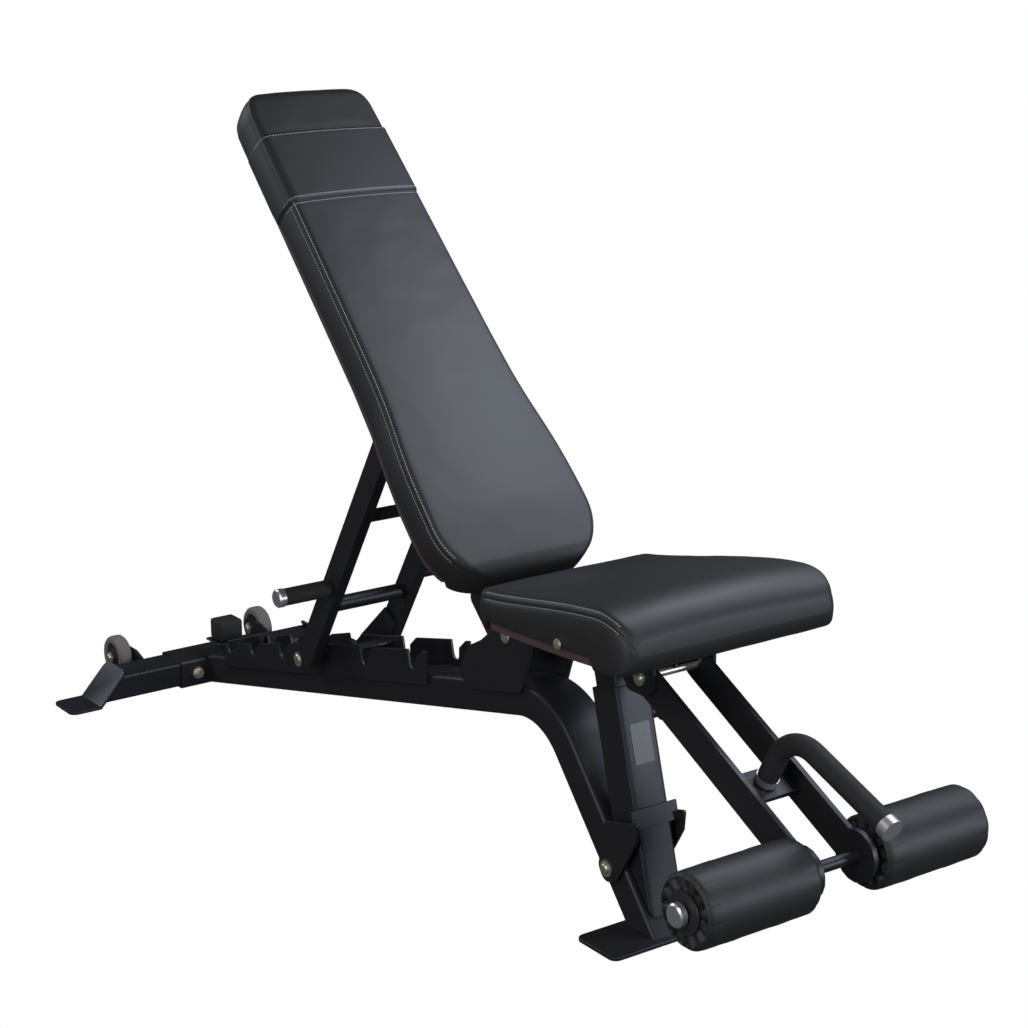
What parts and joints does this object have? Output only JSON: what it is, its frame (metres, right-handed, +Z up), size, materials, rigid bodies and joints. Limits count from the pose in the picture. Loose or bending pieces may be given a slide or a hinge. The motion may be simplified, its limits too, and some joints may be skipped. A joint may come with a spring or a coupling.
{
  "type": "weight_bench",
  "caption": "Adjustable weight bench with ladder back rest, tapered black pad, tilting seat, sliding post, foam leg rollers and transport wheels",
  "frame": {"origin": "on the floor, under the middle of the bench's length and width", "axes": "+X from the rear stabiliser to the leg rollers, +Y to the left of a person lying on the bench with their head to the rear, +Z up"},
  "size_m": [1.8822, 0.62, 1.094],
  "materials": {
    "powder_coat": "fine-textured matte black powder coat",
    "vinyl": "soft black grained vinyl over foam, grey double stitching",
    "board": "dark plum-tinted edge of the pad boards",
    "grip_rubber": "matte black foam rubber",
    "tyre": "grey-brown moulded wheel",
    "knob_plastic": "matte black moulded knob",
    "aluminium": "satin aluminium end caps",
    "zinc": "yellowish zinc-plated fasteners"
  },
  "bodies": {
    "frame": {"main_rail": "powder_coat", "front_foot_plate": "powder_coat", "crossbar_sleeve": "powder_coat", "rear_crossbar": "powder_coat", "rear_foot_left": "powder_coat", "rear_foot_right": "powder_coat", "sleeve_bolt_left": "zinc", "sleeve_bolt_right": "zinc", "bumper_block": "grip_rubber", "bumper_post": "powder_coat", "ladder_bridge": "powder_coat", "ladder_plate_left": "powder_coat", "ladder_plate_right": "powder_coat", "ladder_rear_plate": "powder_coat", "pivot_cheek_left": "powder_coat", "pivot_cheek_right": "powder_coat", "seat_pivot_bolt": "zinc", "post_bolt": "zinc", "wheel_axle_left": "zinc", "wheel_axle_right": "zinc", "wheel_bracket_left": "powder_coat", "wheel_bracket_right": "powder_coat"},
    "back": {"back_board": "board", "back_pad": "vinyl", "back_spine": "powder_coat", "headrest_band": "vinyl"},
    "strut": {"strut_bar_left": "powder_coat", "strut_bar_right": "powder_coat", "strut_cross_tube": "powder_coat", "strut_crossbar": "powder_coat", "strut_grip_left": "grip_rubber", "strut_grip_right": "grip_rubber", "strut_grip_cap_left": "aluminium", "strut_grip_cap_right": "aluminium", "ladder_pin_left": "zinc", "ladder_pin_right": "zinc"},
    "seat": {"seat_board": "board", "seat_frame": "powder_coat", "seat_pad": "vinyl", "leg_arm_left": "powder_coat", "leg_arm_right": "powder_coat", "arm_bolt": "zinc", "arm_cross_plate": "powder_coat", "hand_grip": "grip_rubber", "hand_grip_cap": "aluminium", "roller_axle": "powder_coat", "roller_cap_left": "aluminium", "roller_cap_right": "aluminium"},
    "post": {"seat_post": "powder_coat", "post_bracket": "powder_coat", "pop_pin_barrel": "powder_coat"},
    "inner_tube": {"post_inner_tube": "powder_coat"},
    "pop_pin": {"pop_pin": "knob_plastic"},
    "roller_left": {"foam_roller_left": "vinyl"},
    "roller_right": {"foam_roller_right": "vinyl"},
    "wheel_left": {"rear_wheel_left": "tyre"},
    "wheel_right": {"rear_wheel_right": "tyre"},
    "back_axle": {"main_axle": "zinc"},
    "strut_axle": {"strut_top_pin": "zinc"}
  },
  "joints": [
    {"name": "back_lower", "type": "hinge", "parent": "frame", "child": "back_axle", "pos_m": [0.1839, 0, 0.356], "axis": [0, 1, 0], "range_deg": [-57, 0]},
    {"name": "back_raise", "type": "hinge", "parent": "back_axle", "child": "back", "pos_m": [0.1839, 0, 0.356], "axis": [0, 1, 0], "range_deg": [0, 30]},
    {"name": "strut_fold", "type": "hinge", "parent": "back", "child": "strut_axle", "pos_m": [-0.0753, 0, 0.609], "axis": [0, 1, 0], "range_deg": [0, 100]},
    {"name": "strut_swing", "type": "hinge", "parent": "strut_axle", "child": "strut", "pos_m": [-0.0753, 0, 0.609], "axis": [0, 1, 0], "range_deg": [-42, 0]},
    {"name": "seat_tilt", "type": "hinge", "parent": "frame", "child": "seat", "pos_m": [0.2389, 0, 0.385], "axis": [0, -1, 0], "range_deg": [-6, 4]},
    {"name": "post_swing", "type": "hinge", "parent": "frame", "child": "post", "pos_m": [0.4299, 0, 0.08], "axis": [0, 1, 0], "range_deg": [-1, 1]},
    {"name": "post_extend", "type": "slide", "parent": "post", "child": "inner_tube", "axis": [-0.2672, 0, 0.9636], "range_m": [-0.0165, 0.0165]},
    {"name": "pop_pin_pull", "type": "slide", "parent": "post", "child": "pop_pin", "axis": [0, 1, 0], "range_m": [0, 0.01], "stiffness_N_per_m": 500, "springref_m": -0.006},
    {"name": "roller_left_spin", "type": "hinge", "parent": "seat", "child": "roller_left", "pos_m": [0.8299, 0, 0.222], "axis": [0, 1, 0], "continuous": true},
    {"name": "roller_right_spin", "type": "hinge", "parent": "seat", "child": "roller_right", "pos_m": [0.8299, 0, 0.222], "axis": [0, 1, 0], "continuous": true},
    {"name": "wheel_left_spin", "type": "hinge", "parent": "frame", "child": "wheel_left", "pos_m": [-0.9031, 0, 0.0395], "axis": [0, 1, 0], "continuous": true},
    {"name": "wheel_right_spin", "type": "hinge", "parent": "frame", "child": "wheel_right", "pos_m": [-0.9031, 0, 0.0395], "axis": [0, 1, 0], "continuous": true}
  ],
  "couplings": [
    {"joint": "strut_fold", "follows": "back_lower", "ratio": -1.75},
    {"joint": "strut_swing", "follows": "back_raise", "ratio": -1.31},
    {"joint": "post_swing", "follows": "seat_tilt", "ratio": 0.092},
    {"joint": "post_extend", "follows": "seat_tilt", "m_per_rad": 0.146}
  ]
}
